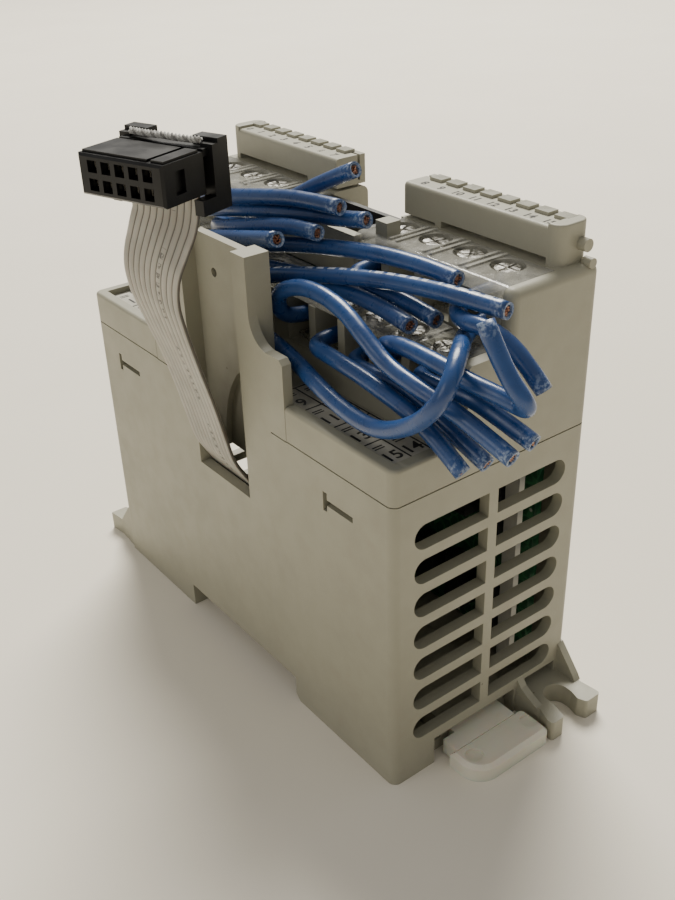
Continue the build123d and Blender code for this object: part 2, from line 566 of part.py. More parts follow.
export_step(din_latch.part, "parts/din_latch.step")

# ================= ribbon cable and its socket =================

turn_angle = radians(PLUG_TURN)
plug_depth = Vector(cos(turn_angle), sin(turn_angle), 0)     # from the mating face to the cable
plug_width = Vector(-sin(turn_angle), cos(turn_angle), 0)    # along the two rows
plug_face = Plane(origin=PLUG_FACE, x_dir=plug_width, z_dir=plug_depth)


def plug_block(wide, tall, deep, mode=Mode.ADD):
    """A block in the socket's own directions: along the rows, upwards, and back from the face."""
    middle = Location((sum(wide) / 2, sum(tall) / 2, sum(deep) / 2))
    with Locations(plug_face.location * middle):
        Box(wide[1] - wide[0], tall[1] - tall[0], deep[1] - deep[0], mode=mode)


with BuildPart() as idc_socket:
    plug_block((-PLUG_HALF, PLUG_HALF), (-PLUG_TALL, PLUG_TALL), (0, PLUG_DEEP))
    chamfer(idc_socket.faces().sort_by(Axis((0, 0, 0), tuple(plug_depth)))[0].edges(), 0.35)
    plug_block((-4.5, 7.4), (PLUG_TALL - 0.1, PLUG_TALL + 0.35), (0.8, PLUG_DEEP - 0.6))
    plug_block((-7.4, -5.2), (PLUG_TALL - 0.1, PLUG_TALL + 0.35), (0.8, PLUG_DEEP - 0.6))
    for column in range(5):
        for row in (-0.5, 0.5):
            middle_x = (column - 2) * PLUG_PITCH
            middle_y = row * PLUG_PITCH
            hole_x = (middle_x - 0.85, middle_x + 0.85)
            hole_y = (middle_y - 0.85, middle_y + 0.85)
            plug_block(hole_x, hole_y, (-1, 6.5), Mode.SUBTRACT)
    # notches in the two ends, where the cover's arms snap in
    for end in (-1, 1):
        notch = sorted((end * (PLUG_HALF - 0.7), end * (PLUG_HALF + 1)))
        plug_block(notch, (-1.6, 1.6), (2.4, 4.4), Mode.SUBTRACT)
idc_socket.part.label = "idc_socket"
export_step(idc_socket.part, "parts/idc_socket.step")

with BuildPart() as idc_contacts:
    for column in range(5):
        for row in (-0.5, 0.5):
            contact_x = (column - 2) * PLUG_PITCH
            for leaf in (-0.55, 0.55):
                plug_block(
                    (contact_x + leaf - 0.12, contact_x + leaf + 0.12),
                    (row * PLUG_PITCH - 0.5, row * PLUG_PITCH + 0.5), (1.2, 6.5),
                )
idc_contacts.part.label = "idc_contacts"
export_step(idc_contacts.part, "parts/idc_contacts.step")

cable_gap = (CABLE_DEPTH - 0.5, CABLE_DEPTH + 0.5)
with BuildPart() as idc_cover:
    plug_block((-PLUG_HALF, PLUG_HALF), (-PLUG_TALL, 2.2), (cable_gap[1], 11.6))
    plug_block((-PLUG_HALF, PLUG_HALF), (2.2, 3.2), (cable_gap[0], 11.6))
    for end in (-1, 1):
        ear = sorted((end * 6.5, end * 8.6))
        plug_block(ear, (-5.6, 3.7), (cable_gap[1], 12.7))
        plug_block(sorted((end * 7.0, end * 8.6)), (-5.6, -3.4), (6.6, 12.7))
        plug_block(sorted((end * 4.2, end * 8.6)), (2.4, 4.3), (10.6, 12.7))
idc_cover.part.label = "idc_cover"
export_step(idc_cover.part, "parts/idc_cover.step")

# braided pull cord, across the top between the cover's ears
with BuildPart() as pull_loop:
    with BuildLine():
        loop_path = FilletPolyline(
            *[plug_face.from_local_coords((x, y, z)) for x, y, z in
              ((6.4, 4.0, 9.6), (3.4, 4.0, 9.2), (0, 4.2, 9.0), (-3.4, 4.0, 9.3), (-6.4, 4.05, 9.7))],
            radius=3.0,
        )
    with BuildSketch(Plane(loop_path @ 0, z_dir=loop_path % 0)):
        Circle(0.55)
    sweep()
pull_loop.part.label = "pull_loop"
export_step(pull_loop.part, "parts/pull_loop.step")

# the ribbon: out of its header, over the sill, up the channel and into the socket from below
RIBBON = [
    (-12.4, 2.2, HEADER_TOP_Z, 0), (-12.7, 2.2, 27.0, 0), (-14.6, 2.2, 33.5, 0), (-18.0, 2.2, 39.4, 0),
    (-20.6, 2.1, 43.6, 0), (-22.0, 1.7, 49.0, 0), (-24.2, 0.8, 56.8, 0), (-26.7, -0.2, 64.2, 0),
    (-29.2, -1.2, 71.0, 3), (-31.1, -2.2, 76.8, 6), (-31.4, -3.3, 81.4, 10), (-30.2, -4.4, 85.6, 15),
    (-28.66, -5.5, 90.2, PLUG_TURN), (-28.46, -5.61, PLUG_FACE[2] + 2.2, PLUG_TURN),
]
with BuildPart() as ribbon_cable:
    for i, (x, y, z, twist) in enumerate(RIBBON):
        before = Vector(*RIBBON[max(i - 1, 0)][:3])
        after = Vector(*RIBBON[min(i + 1, len(RIBBON) - 1)][:3])
        heading = Vector(0, 0, 1) if i in (0, len(RIBBON) - 2, len(RIBBON) - 1) else after - before
        width_dir = Vector(sin(radians(twist)), -cos(radians(twist)), 0)
        with BuildSketch(Plane(origin=(x, y, z), x_dir=width_dir, z_dir=heading)):
            Rectangle(RIBBON_WIDTH, RIBBON_T)
    loft(ruled=True)
ribbon_cable.part.label = "ribbon_cable"
export_step(ribbon_cable.part, "parts/ribbon_cable.step")

# ================= wires =================

UP = UPPER_BACK           # a wire in the upper tier starts at its clamp's back
LOW = LOWER_BACK          # a wire in the lower tier starts at its clamp's back
WIRES = {
    "wire_01": [
        (UP, 15.1, 76.8), (1.8, 15.1, 76.8), (-3, 14.2, 78), (-3.5, 8, 80.6), (-1, 2, 84.5), (1, -4, 88),
        (2, -10.3, 90.8),
    ],
    "wire_02": [
        (UP, 37, 76.5), (1.8, 37, 76.5), (-4.5, 35.5, 78), (-9, 29, 80.5), (-10, 19, 83), (-9, 9, 84.6),
        (-6.5, 2, 85.6), (-4.5, -5, 86.4), (-3.5, -13.5, 86.6),
    ],
    "wire_03": [
        (UP, 29.3, 76.5), (1.8, 29.3, 76.5), (-4, 28, 77.3), (-7.5, 21.5, 79.4), (-8, 11.5, 81.7),
        (-6, 3.3, 82.9), (-4, -4.6, 83.6), (-2, -11.5, 84.1), (-1, -16.8, 84.9),
    ],
    "wire_04": [
        (UP, 21.7, 76), (1.8, 21.7, 76), (-5, 20.5, 76.5), (-9.3, 14, 78.3), (-9.3, 6.7, 80),
        (-8, -1, 81.9), (-7, -6.9, 82.8), (-6.5, -11.6, 82.8),
    ],
    "wire_05": [
        (LOW, 29.9, 68.5), (-8, 29.9, 68.5), (-13, 28.5, 71), (-13.5, 22, 74.5), (-12.8, 14.5, 77.2),
        (-12.3, 2.2, 79.9), (-12.3, -8.9, 82.5),
    ],
    "wire_06": [
        (LOW, 22.3, 68.5), (-8, 22.3, 68.5), (-12, 21, 70.3), (-11.5, 16, 73.5), (-10, 12, 75.6),
        (-8.2, 4.9, 77.2), (-6, -3.5, 78.9), (-4.7, -12, 80.3), (-3, -19.6, 81.1), (-1.8, -26, 81.3),
        (-0.8, -32.3, 81.1), (-0.5, -36.5, 80.8),
    ],
    "wire_07": [
        (UP, 12.2, 76), (1.8, 12.2, 76), (-4, 11.2, 75.2), (-7.9, 7, 74), (-8.5, 1.2, 74.4),
        (-7.3, -5, 75), (-6.3, -13, 74.9), (-6.2, -21, 75.2), (-6.2, -28, 74.9), (-6.7, -33.4, 74.5),
    ],
    "wire_08": [
        (LOW, 7.1, 68.7), (-8, 7.1, 68.7), (-12.5, 6.5, 69.7), (-12.5, 1.5, 73), (-11, -3.5, 75),
        (-9, -11, 76.6), (-7, -18.3, 77.9), (-5, -25, 78.7), (-3.6, -33.5, 79.5), (-3, -40.4, 79.95),
        (-1.8, -47.6, 79.9),
    ],
    "wire_09": [
        (LOW, -7.1, 68), (-8, -7.1, 68), (-12, -7.5, 70), (-13, -9, 74.3), (-12.3, -14, 76.5),
        (-12, -19.5, 76.7), (-12.2, -25, 75.8), (-12.8, -30, 73.8), (-13, -35.5, 71), (-13, -42.4, 70),
        (-12, -49, 68.4), (-11, -53.5, 66.4), (-10.5, -58, 64.8),
    ],
    "wire_10": [
        (LOW, -14.7, 67), (-8, -14.7, 67), (-12, -16.5, 67.2), (-13.3, -23.5, 68), (-13.5, -30.9, 67.6),
        (-13.5, -37, 66.7), (-13.5, -42, 65.8), (-13.2, -46.5, 63.6), (-12.5, -50.9, 60.2),
    ],
    "wire_11": [
        (LOW, -22.3, 66.5), (-8, -22.3, 66.5), (-10.6, -25, 66.5), (-10.5, -31, 66.8), (-10, -37, 66.2),
        (-9.9, -41.5, 65), (-9.3, -46.5, 62.7), (-8.5, -51.6, 60.3),
    ],
    "wire_12": [
        (LOW, -29.9, 69.0), (-8, -29.9, 69.0), (-10.2, -30.8, 71.8), (-10.2, -35, 73.3),
        (-10.3, -43.8, 73.2), (-9.6, -49, 72.2), (-8.4, -53.4, 71.5), (-7.3, -56.3, 70.5),
        (-9.5, -59.2, 72.6), (-10.5, -55.5, 76.7), (-10.3, -51.7, 82.2),
    ],
    "wire_13": [
        (LOW, -37.5, 69.2), (-8, -37.5, 69.2), (-10, -39.3, 69.4), (-9.6, -43.8, 69.4),
        (-8.8, -47.8, 69.5), (-8.0, -52, 68.2), (-6.8, -58.2, 65.9),
    ],
    "wire_14": [
        (UP, -13.5, 76), (1.8, -13.5, 76), (-2.6, -14.5, 75.9), (-3.4, -20, 75.8), (-3.1, -28, 75.8),
        (-3, -35, 74.8),
    ],
    "wire_15": [
        (LOW, 7.1, 65.5), (-8, 7.1, 65.5), (-11, 6, 65.5), (-12.4, 1, 65.4), (-13.7, -8.5, 65.6),
        (-15.0, -16.2, 65.3), (-16.5, -24, 64.4), (-17.5, -32.4, 63.5), (-17.8, -39.5, 63.8),
        (-17.3, -45.7, 66.9), (-16.8, -49.8, 71), (-15, -50.6, 74.5), (-11.5, -48.2, 76.4),
        (-7.8, -45, 75.8), (-4.6, -41.8, 74.3), (-1.2, -39.4, 74.1), (1.8, -38.4, 74.4),
        (UP, -38.4, 74.4),
    ],
    "wire_16": [
        (UP, -35.8, 77.25), (1.8, -35.8, 77.25), (-1.2, -37, 77.0), (-4.2, -41, 77.05),
        (-4.6, -46.3, 78.0), (-3.4, -49.8, 76.3), (-2.6, -53, 73.3), (-2, -55, 70.8),
    ],
}


def corner_radii_of(points):
    """The arc radius that each corner of a route has room for."""
    radii = []
    for i in range(1, len(points) - 1):
        back = Vector(*points[i - 1]) - Vector(*points[i])
        ahead = Vector(*points[i + 1]) - Vector(*points[i])
        turn = 180 - back.get_angle(ahead)
        radii.append(0.45 * min(back.length, ahead.length) / tan(radians(turn / 2)))
    return radii


for name, route in WIRES.items():
    corner_radii = corner_radii_of(route)
    with BuildPart() as wire:
        with BuildLine():
            centre = FilletPolyline(*route, radius=corner_radii)
        with BuildSketch(Plane(centre @ 0, z_dir=centre % 0)):
            Circle(WIRE_D / 2)
        sweep()
    tube = centre.length * pi * WIRE_D ** 2 / 4
    print(name, "length", round(centre.length, 1), "radii", [round(r, 1) for r in corner_radii],
          "volume", round(wire.part.volume, 1), "expected", round(tube, 1))
    wire.part.label = name
    export_step(wire.part, f"parts/{name}.step")
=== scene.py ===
from math import cos, pi, radians, sin

import bmesh
import bpy
import numpy as np
from mathutils import Matrix, Vector, noise


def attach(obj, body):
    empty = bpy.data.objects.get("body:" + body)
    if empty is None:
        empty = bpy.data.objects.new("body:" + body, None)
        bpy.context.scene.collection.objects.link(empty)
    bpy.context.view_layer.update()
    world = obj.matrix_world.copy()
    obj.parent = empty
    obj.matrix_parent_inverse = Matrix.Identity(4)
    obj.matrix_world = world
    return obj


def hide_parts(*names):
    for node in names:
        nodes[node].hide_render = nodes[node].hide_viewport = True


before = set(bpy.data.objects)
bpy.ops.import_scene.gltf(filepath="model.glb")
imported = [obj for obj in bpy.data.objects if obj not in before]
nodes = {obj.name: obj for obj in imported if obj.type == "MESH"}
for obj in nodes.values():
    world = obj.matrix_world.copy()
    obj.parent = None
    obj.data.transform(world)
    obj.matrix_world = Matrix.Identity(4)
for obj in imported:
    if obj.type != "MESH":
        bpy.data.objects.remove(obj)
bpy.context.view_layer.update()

MM = 0.001

# ---------------------------------------------------------------- camera

CAMERA_AT = Vector((-0.09991, -0.13988, 0.13603))
FORWARD = Vector((0.51725, 0.69414, -0.50062)).normalized()
RIGHT = Vector((0.79124, -0.61080, -0.02938)).normalized()
UP_DIR = RIGHT.cross(FORWARD).normalized()

camera_data = bpy.data.cameras.new("camera")
camera_data.lens = 42.695
camera_data.sensor_width = 36
camera_data.sensor_fit = "AUTO"
camera_data.clip_start = 0.005
camera = bpy.data.objects.new("camera", camera_data)
bpy.context.scene.collection.objects.link(camera)
turn = Matrix((RIGHT, UP_DIR, -FORWARD)).transposed()
camera.matrix_world = Matrix.Translation(CAMERA_AT) @ turn.to_4x4()
bpy.context.scene.camera = camera

# ---------------------------------------------------------------- materials


class Shader:
    """A node material in the making. Lengths in its textures are millimetres of the object's own space."""

    def __init__(self, name, **sockets):
        self.material = bpy.data.materials.new(name)
        self.material.use_nodes = True
        self.tree = self.material.node_tree
        self.principled = self.tree.nodes["Principled BSDF"]
        self.coordinates = self.tree.nodes.new("ShaderNodeTexCoord").outputs["Object"]
        self.normal = None
        for socket, value in sockets.items():
            self.set(socket.replace("_", " "), value)

    def set(self, socket, value):
        target = self.principled.inputs[socket]
        if hasattr(value, "is_linked"):
            self.tree.links.new(value, target)
        elif isinstance(value, tuple):
            target.default_value = (*value, 1.0)
        else:
            target.default_value = value

    def node(self, kind, inputs, output=0, **settings):
        made = self.tree.nodes.new(kind)
        for key, value in settings.items():
            setattr(made, key, value)
        for key, value in inputs.items():
            socket = made.inputs[key]
            if hasattr(value, "is_linked"):
                self.tree.links.new(value, socket)
            elif isinstance(value, tuple) and socket.type == "RGBA":
                socket.default_value = (*value, 1.0)
            else:
                socket.default_value = value
        return made.outputs[output]

    def noise(self, size, detail=3.0, rough=0.5, stretch=(1, 1, 1)):
        """Soft noise whose blotches are about this many millimetres across."""
        scale = tuple(1 / s for s in stretch)
        where = self.node("ShaderNodeMapping", {"Vector": self.coordinates, "Scale": scale})
        return self.node("ShaderNodeTexNoise", {"Vector": where, "Scale": 1000 / size, "Detail": detail,
                                                "Roughness": rough})

    def cells(self, size, output="Distance", feature="F1"):
        """Voronoi cells about this many millimetres across."""
        return self.node("ShaderNodeTexVoronoi", {"Vector": self.coordinates, "Scale": 1000 / size}, output,
                         feature=feature)

    def attribute(self, name):
        return self.node("ShaderNodeAttribute", {}, "Fac", attribute_name=name)

    def ramp(self, value, low, high, out_low=0.0, out_high=1.0):
        return self.node("ShaderNodeMapRange", {"Value": value, "From Min": low, "From Max": high,
                                                "To Min": out_low, "To Max": out_high},
                         interpolation_type="SMOOTHSTEP")

    def math(self, operation, a, b=0.0):
        return self.node("ShaderNodeMath", {0: a, 1: b}, operation=operation)

    def mix(self, factor, a, b):
        made = self.tree.nodes.new("ShaderNodeMix")
        made.data_type = "RGBA"
        for socket, value in (("Factor_Float", factor), ("A_Color", a), ("B_Color", b)):
            target = next(s for s in made.inputs if s.identifier == socket)
            if hasattr(value, "is_linked"):
                self.tree.links.new(value, target)
            else:
                target.default_value = (*value, 1.0) if isinstance(value, tuple) else value
        return next(s for s in made.outputs if s.identifier == "Result_Color")

    def bump(self, height, depth):
        """Adds relief: height runs 0 to 1, depth is in millimetres."""
        inputs = {"Height": height, "Distance": depth * MM, "Strength": 1.0}
        if self.normal is not None:
            inputs["Normal"] = self.normal
        self.normal = self.node("ShaderNodeBump", inputs)
        self.set("Normal", self.normal)


def moulded(name, colour, rough, grain=0.25, depth=0.012, blotch=0.05, dirt=None, specks=0.0, **sockets):
    """Moulded plastic: fine sparked grain, faint blotches, dust and a few dark specks."""
    s = Shader(name, **sockets)
    light = tuple(min(1.0, c * (1 + blotch)) for c in colour)
    dark = tuple(c * (1 - blotch) for c in colour)
    tone = s.mix(s.ramp(s.noise(14, 5, 0.6), 0.35, 0.65), dark, light)
    if dirt:
        amount = s.math("MULTIPLY", s.ramp(s.noise(6, 8, 0.7), 0.52, 0.78), 0.35)
        tone = s.mix(amount, tone, dirt)
    if specks:
        near = s.ramp(s.cells(5.5), 0.05, 0.03)
        pick = s.node("ShaderNodeSeparateColor", {"Color": s.cells(5.5, "Color")})
        some = s.ramp(pick, 1 - specks, 1 - specks + 0.02)
        tone = s.mix(s.math("MULTIPLY", s.math("MULTIPLY", near, some), 0.7), tone, (0.05, 0.045, 0.035))
    s.set("Base Color", tone)
    s.set("Roughness", s.ramp(s.noise(3, 4), 0.3, 0.7, rough - 0.06, rough + 0.06))
    s.bump(s.noise(grain, 2), depth)
    return s


def metal(name, colour, rough, scratch=0.004, tarnish=(0.25, 0.23, 0.2)):
    """Plated metal with fine scratches and dull patches."""
    s = Shader(name, Metallic=1.0)
    s.set("Base Color", s.mix(s.ramp(s.noise(1.5, 5, 0.65), 0.5, 0.75), colour, tarnish))
    s.set("Roughness", s.ramp(s.noise(0.8, 4), 0.3, 0.7, rough - 0.08, rough + 0.12))
    s.bump(s.noise(0.3, 3, stretch=(8, 1, 1)), scratch)
    return s


HOUSING = (0.335, 0.322, 0.246)
case_plastic = moulded("housing", HOUSING, 0.5, grain=0.35, depth=0.02, blotch=0.035,
                       dirt=(0.33, 0.29, 0.22), specks=0.10).material
led_plastic = moulded("led_plastic", (0.43, 0.42, 0.36), 0.35, blotch=0.04).material
frame_plastic = moulded("frame_plastic", (0.50, 0.49, 0.45), 0.45, blotch=0.05).material
lens_plastic = moulded("lens", (0.36, 0.35, 0.28), 0.28, grain=0.5, depth=0.004, blotch=0.04).material
black_plastic = moulded("black_plastic", (0.018, 0.018, 0.019), 0.42, grain=0.3, depth=0.01, blotch=0.2,
                        dirt=(0.10, 0.10, 0.10)).material

connector = moulded("connector", (0.0045, 0.0045, 0.005), 0.36, grain=0.22, depth=0.008, blotch=0.2,
                    dirt=(0.016, 0.016, 0.016), Specular_IOR_Level=0.3).material

latch_plastic = moulded("latch_nylon", (0.74, 0.71, 0.60), 0.38, grain=0.9, depth=0.02, blotch=0.03,
                        dirt=(0.55, 0.48, 0.35), specks=0.06, Subsurface_Weight=0.35,
                        Subsurface_Scale=0.003).material


def clear_cover():
    """Clear moulded cover: mostly see-through, denser at a slant, with a bright gloss."""
    s = Shader("clear_cover", Specular_IOR_Level=0.8, Coat_Weight=0.6, Coat_Roughness=0.06)
    s.set("Base Color", s.mix(s.ramp(s.noise(5, 4), 0.4, 0.7), (0.62, 0.61, 0.55), (0.50, 0.49, 0.43)))
    slant = s.node("ShaderNodeLayerWeight", {"Blend": 0.35}, "Facing")
    haze = s.ramp(s.noise(2.2, 5, 0.6), 0.35, 0.75, 0.10, 0.30)
    s.set("Alpha", s.math("ADD", haze, s.math("MULTIPLY", slant, 0.45)))
    s.set("Roughness", s.ramp(s.noise(2.5, 6, 0.7), 0.45, 0.8, 0.06, 0.24))
    s.bump(s.noise(2.6, 3), 0.05)
    return s.material


clear_plastic = clear_cover()


def card_paper():
    s = Shader("label_paper", Specular_IOR_Level=0.35)
    s.set("Base Color", s.mix(s.ramp(s.noise(4, 5), 0.4, 0.7), (0.50, 0.48, 0.41), (0.44, 0.42, 0.35)))
    s.set("Roughness", s.ramp(s.noise(1, 3), 0.3, 0.7, 0.55, 0.75))
    s.bump(s.noise(0.2, 4, 0.7), 0.01)
    return s.material


def printed_ink(name, colour):
    s = Shader(name, Specular_IOR_Level=0.3)
    worn = tuple(c * 1.8 + 0.02 for c in colour)
    s.set("Base Color", s.mix(s.ramp(s.noise(0.4, 4), 0.45, 0.8), colour, worn))
    s.set("Roughness", s.ramp(s.noise(0.6, 2), 0.3, 0.7, 0.5, 0.7))
    s.bump(s.noise(0.15, 2), 0.004)
    return s.material


def board():
    """Green solder mask over copper tracks, with tinned pads."""
    s = Shader("circuit_board", Specular_IOR_Level=0.5)
    tracks = s.ramp(s.cells(2.4, feature="DISTANCE_TO_EDGE"), 0.09, 0.06)
    pads = s.ramp(s.cells(3.1), 0.19, 0.15)
    mask = s.mix(tracks, (0.018, 0.085, 0.040), (0.035, 0.15, 0.065))
    s.set("Base Color", s.mix(pads, mask, (0.42, 0.42, 0.38)))
    s.set("Roughness", s.ramp(s.noise(2), 0.3, 0.7, 0.28, 0.42))
    s.bump(tracks, 0.03)
    return s.material


def vinyl_base(name, scuffed):
    """Blue vinyl: glossy, and whitened where the cutters stressed it, near the cut end."""
    s = Shader(name, Specular_IOR_Level=0.5, Coat_Weight=0.25, Coat_Roughness=0.18)
    blue = s.mix(s.ramp(s.noise(7, 4), 0.35, 0.65), (0.011, 0.047, 0.165), (0.017, 0.066, 0.215))
    if scuffed:
        scuff = s.ramp(s.noise(0.9, 6, 0.75, stretch=(3, 3, 1)), 0.60, 0.78)
        blue = s.mix(s.math("MULTIPLY", scuff, 0.22), blue, (0.16, 0.25, 0.42))
    close = s.ramp(s.attribute("along"), 3.2, 0.2)
    torn = s.math("MULTIPLY", close, s.ramp(s.noise(0.7, 5, 0.7), 0.47, 0.62))
    blue = s.mix(s.math("MULTIPLY", torn, 0.75), blue, (0.34, 0.42, 0.56))
    s.set("Roughness", s.ramp(s.noise(1.4, 5), 0.3, 0.7, 0.24, 0.42))
    s.bump(s.noise(2.5, 1), 0.03)
    return s, blue


def wire_vinyl():
    s, blue = vinyl_base("wire_vinyl", scuffed=True)
    s.set("Base Color", blue)
    return s.material


def printed_wire_vinyl():
    """The vinyl, unscuffed, with a broken line of plain white dashes along it."""
    s, blue = vinyl_base("wire_vinyl_marked", scuffed=False)
    along = s.attribute("along")
    dash = s.ramp(s.math("PINGPONG", along, 1.1), 0.38, 0.42)
    gap = s.ramp(s.math("PINGPONG", along, 6.5), 1.0, 1.2)
    band = s.ramp(s.math("ABSOLUTE", s.attribute("turn")), 0.38, 0.32)
    worn = s.ramp(s.noise(0.5, 3), 0.3, 0.45)
    print_mask = s.math("MULTIPLY", s.math("MULTIPLY", dash, gap), s.math("MULTIPLY", band, worn))
    s.set("Base Color", s.mix(s.math("MULTIPLY", print_mask, 0.8), blue, (0.62, 0.66, 0.72)))
    return s.material


def cut_vinyl():
    s = Shader("wire_cut_face", Specular_IOR_Level=0.4)
    s.set("Base Color", s.mix(s.ramp(s.noise(0.3, 4), 0.4, 0.65), (0.07, 0.13, 0.28), (0.34, 0.40, 0.50)))
    s.set("Roughness", s.ramp(s.noise(0.4), 0.3, 0.7, 0.4, 0.6))
    s.bump(s.noise(0.2, 3), 0.03)
    return s.material


RIBBON_PITCH = 1.27
CONDUCTORS = 10
RIBBON_WIDTH = CONDUCTORS * RIBBON_PITCH
PRINT_LANE = 8.26


def ribbon_vinyl():
    """Grey ribbon insulation: a soft shine, painted shade in the valleys and plain grey marks on one
    conductor.
    """
    s = Shader("ribbon_insulation", Specular_IOR_Level=0.5, Subsurface_Weight=0.08, Subsurface_Scale=0.002)
    across, along = s.attribute("across"), s.attribute("along")
    # painted shade: the grooves between conductor ridges are darkened towards near black, standing in for
    # their shade
    valley_shade = s.ramp(s.math("PINGPONG", across, RIBBON_PITCH / 2), 0.20, 0.02)
    grey = s.mix(s.ramp(s.noise(6, 4), 0.35, 0.65), (0.36, 0.345, 0.30), (0.43, 0.415, 0.36))
    grey = s.mix(s.math("MULTIPLY", valley_shade, 0.9), grey, (0.09, 0.08, 0.065))
    mark = s.math("MULTIPLY", s.ramp(s.math("PINGPONG", along, 0.8), 0.34, 0.40),
                  s.ramp(s.math("PINGPONG", along, 9.0), 2.6, 2.9))
    lane = s.ramp(s.math("ABSOLUTE", s.math("SUBTRACT", across, PRINT_LANE)), 0.42, 0.36)
    lane = s.math("MULTIPLY", lane, s.ramp(s.noise(0.45, 2), 0.40, 0.52))
    grey = s.mix(s.math("MULTIPLY", s.math("MULTIPLY", mark, lane), 0.75), grey, (0.06, 0.06, 0.06))
    s.set("Base Color", grey)
    s.set("Roughness", s.ramp(s.noise(2, 4), 0.3, 0.7, 0.34, 0.48))
    s.bump(s.noise(1.2, 3), 0.02)
    return s.material


def braid_yarn(name, colour):
    s = Shader(name, Sheen_Weight=0.4, Sheen_Roughness=0.5)
    s.set("Base Color", s.mix(s.ramp(s.noise(0.2, 4), 0.4, 0.65), colour, tuple(c * 0.6 for c in colour)))
    s.set("Roughness", s.ramp(s.noise(0.3), 0.3, 0.7, 0.7, 0.9))
    s.bump(s.noise(0.12, 3, stretch=(1, 4, 1)), 0.03)
    return s.material


plated_steel = metal("plated_steel", (0.62, 0.61, 0.58), 0.26).material
contact_metal = metal("contact_metal", (0.66, 0.62, 0.52), 0.3).material
copper = metal("bare_copper", (0.42, 0.22, 0.15), 0.3, tarnish=(0.12, 0.05, 0.035)).material
label_paper = card_paper()
circuit_board = board()
vinyl = wire_vinyl()
marked_vinyl = printed_wire_vinyl()
cut_face = cut_vinyl()
ribbon_grey = ribbon_vinyl()
ink = printed_ink("printed_ink", (0.02, 0.02, 0.02))
bar_ink = printed_ink("bar_ink", (0.012, 0.011, 0.01))

NODE_MATERIALS = {
    case_plastic: ["lower_case", "upper_case", "led_bar_near", "led_bar_far", "terminal_block_upper_near",
                   "terminal_block_upper_far", "terminal_block_lower_near", "terminal_block_lower_far"],
    lens_plastic: ["light_pipes_near", "light_pipes_far"],
    clear_plastic: ["terminal_cover_upper_near", "terminal_cover_upper_far", "terminal_cover_lower_near",
                    "terminal_cover_lower_far"],
    label_paper: ["label_card_near", "label_card_far"],
    circuit_board: ["circuit_board_left", "circuit_board_right", "circuit_board_top", "led_boards"],
    plated_steel: ["terminal_clamps", "terminal_screws"],
    contact_metal: ["bus_pins", "idc_contacts"],
    black_plastic: ["bus_header", "board_connector", "optocouplers", "controller_chip", "capacitors",
                    "ribbon_header"],
    connector: ["idc_socket", "idc_cover"],
    latch_plastic: ["din_latch"],
    frame_plastic: ["board_frame"],
    led_plastic: ["status_leds"],
}
for material, names in NODE_MATERIALS.items():
    for name in names:
        mesh = nodes[name].data
        mesh.materials.clear()
        mesh.materials.append(material)

# ---------------------------------------------------------------- mesh helpers


def link(name, mesh, material, smooth=True):
    """A new object from a mesh, with its materials."""
    piece = bpy.data.objects.new(name, mesh)
    bpy.context.scene.collection.objects.link(piece)
    for one in material if isinstance(material, (list, tuple)) else [material]:
        mesh.materials.append(one)
    if smooth:
        for polygon in mesh.polygons:
            polygon.use_smooth = True
    return piece


def spline_points(route, resolution=10):
    """Points along the NURBS spline whose control points are the route, in metres."""
    curve = bpy.data.curves.new("route", "CURVE")
    curve.dimensions = "3D"
    curve.resolution_u = resolution
    spline = curve.splines.new("NURBS")
    spline.points.add(len(route) - 1)
    for point, place in zip(spline.points, route):
        point.co = (place[0], place[1], place[2], 1.0)
    spline.order_u = 3
    spline.use_endpoint_u = True
    holder = bpy.data.objects.new("route", curve)
    sampled = bpy.data.meshes.new_from_object(holder)
    points = [v.co.copy() for v in sampled.vertices]
    bpy.data.objects.remove(holder)
    bpy.data.meshes.remove(sampled)
    bpy.data.curves.remove(curve)
    return points


def length_of(points):
    return sum((b - a).length for a, b in zip(points, points[1:]))


def headings(points):
    """Unit direction of travel at each point."""
    last = len(points) - 1
    return [(points[min(i + 1, last)] - points[max(i - 1, 0)]).normalized() for i in range(last + 1)]


def carried_sides(points, hint):
    """A side direction at each point, turned as little as possible from one to the next."""
    ways = headings(points)
    side = (hint - ways[0] * hint.dot(ways[0])).normalized()
    sides = []
    for way in ways:
        side = (side - way * side.dot(way)).normalized()
        sides.append(side)
    return ways, sides


def mesh_of(bm, name):
    """The mesh of a finished bmesh, which is freed."""
    mesh = bpy.data.meshes.new(name)
    bm.to_mesh(mesh)
    bm.free()
    return mesh


def add_ring(bm, centre, side, cross, radius, count):
    return [bm.verts.new(centre + (side * cos(2 * pi * k / count) + cross * sin(2 * pi * k / count)) * radius)
            for k in range(count)]


def join_rings(bm, a, b, material=0):
    count = len(a)
    for k in range(count):
        face = bm.faces.new((a[k], a[(k + 1) % count], b[(k + 1) % count], b[k]))
        face.material_index = material


def cap(bm, ring, material=0, flip=False):
    face = bm.faces.new(ring[::-1] if flip else ring)
    face.material_index = material


# ---------------------------------------------------------------- wires

